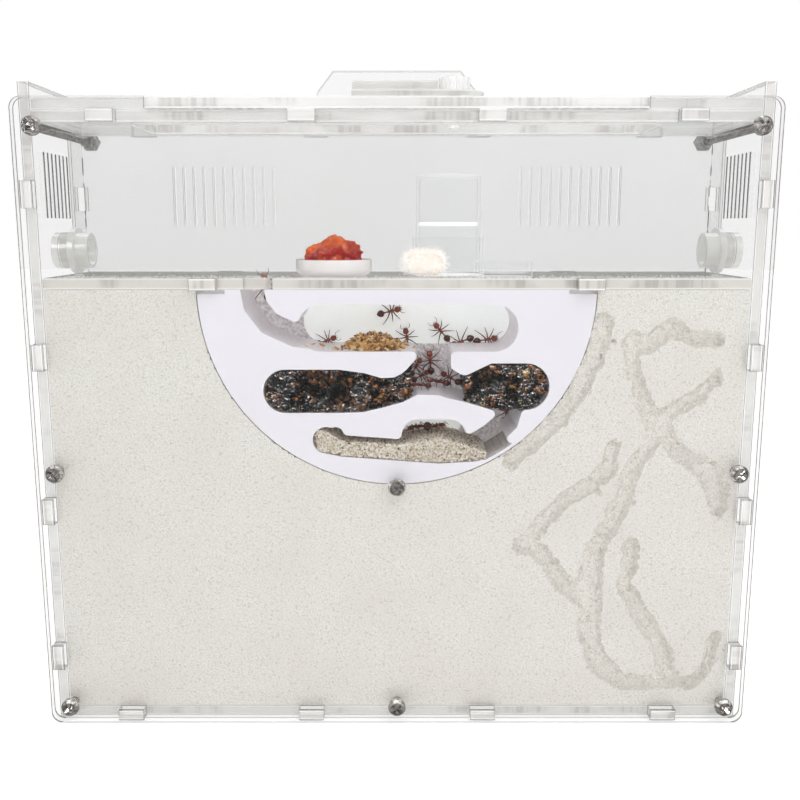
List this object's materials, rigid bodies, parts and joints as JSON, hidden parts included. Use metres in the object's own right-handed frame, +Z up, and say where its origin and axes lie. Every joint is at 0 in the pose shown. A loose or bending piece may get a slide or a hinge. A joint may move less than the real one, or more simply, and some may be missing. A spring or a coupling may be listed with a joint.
{
  "type": "ant habitat",
  "caption": "Clear upright ant habitat: a lidded foraging space above a sand nest with a half-round gallery block, side plugs, drinker and dishes.",
  "frame": {"origin": "middle of the footprint, on the table", "axes": "+X to the viewer's right, -Y out of the front panel, +Z up"},
  "size_m": [0.2012, 0.052, 0.185],
  "materials": {
    "clear_sheet": "clear cast acrylic sheet with cut edges",
    "clear_ware": "clear moulded plastic",
    "water": "clear water",
    "steel": "stainless steel, bright",
    "white_board": "smooth white board with a faint violet tint",
    "sand": "fine off-white sand",
    "soil": "wet dark soil with bark crumbs",
    "chamber_sand": "coarse beige sand",
    "seeds": "golden brown seeds",
    "nylon": "white nylon",
    "plug_plastic": "milky moulded plastic",
    "dish_plastic": "white glossy dish",
    "jelly": "red jelly, wet and translucent",
    "cotton": "cotton wool"
  },
  "bodies": {
    "root": {"front_panel": "clear_sheet", "back_panel": "clear_sheet", "left_wall": "clear_sheet", "right_wall": "clear_sheet", "base_plate": "clear_sheet", "shelf": "clear_sheet", "roof_plate": "clear_sheet", "case_screws": "steel", "case_nuts": "steel", "gallery_block": "white_board", "sand_fill": "sand", "left_soil": "soil", "right_soil": "soil", "chamber_sand": "chamber_sand", "seed_heap": "seeds", "drinker_cup": "clear_ware", "cotton_wick": "cotton"},
    "lid": {"lid": "clear_sheet", "lid_handle": "clear_sheet", "thumb_nut": "nylon"},
    "flap": {"port_flap": "clear_sheet", "flap_grip": "clear_sheet"},
    "thumb_screw": {"thumb_screw": "nylon"},
    "left_plug": {"left_plug": "plug_plastic"},
    "right_plug": {"right_plug": "plug_plastic"},
    "food_dish": {"food_dish": "dish_plastic", "food_jelly": "jelly"},
    "drinker_tube": {"drinker_tube": "clear_ware", "drinker_water": "water"},
    "water_dish": {"water_dish": "clear_ware"}
  },
  "joints": [
    {"name": "lid_lift", "type": "slide", "parent": "root", "child": "lid", "axis": [0, 0, 1], "range_m": [0, 0.03]},
    {"name": "flap_swing", "type": "hinge", "parent": "lid", "child": "flap", "pos_m": [0.0158, -0.006, 0.1762], "axis": [0, 0, 1], "range_deg": [0, 180]},
    {"name": "thumb_turn", "type": "hinge", "parent": "lid", "child": "thumb_screw", "pos_m": [0.0158, -0.006, 0.18], "axis": [0, 0, 1], "continuous": true},
    {"name": "left_plug_pull", "type": "slide", "parent": "root", "child": "left_plug", "axis": [1, 0, 0], "range_m": [0, 0.012]},
    {"name": "right_plug_pull", "type": "slide", "parent": "root", "child": "right_plug", "axis": [-1, 0, 0], "range_m": [0, 0.012]},
    {"name": "food_dish_lift", "type": "slide", "parent": "root", "child": "food_dish", "axis": [0, 0, 1], "range_m": [0, 0.02]},
    {"name": "drinker_tube_lift", "type": "slide", "parent": "root", "child": "drinker_tube", "axis": [0, 0, 1], "range_m": [0, 0.0115]},
    {"name": "water_dish_lift", "type": "slide", "parent": "root", "child": "water_dish", "axis": [0, 0, 1], "range_m": [0, 0.02]}
  ]
}
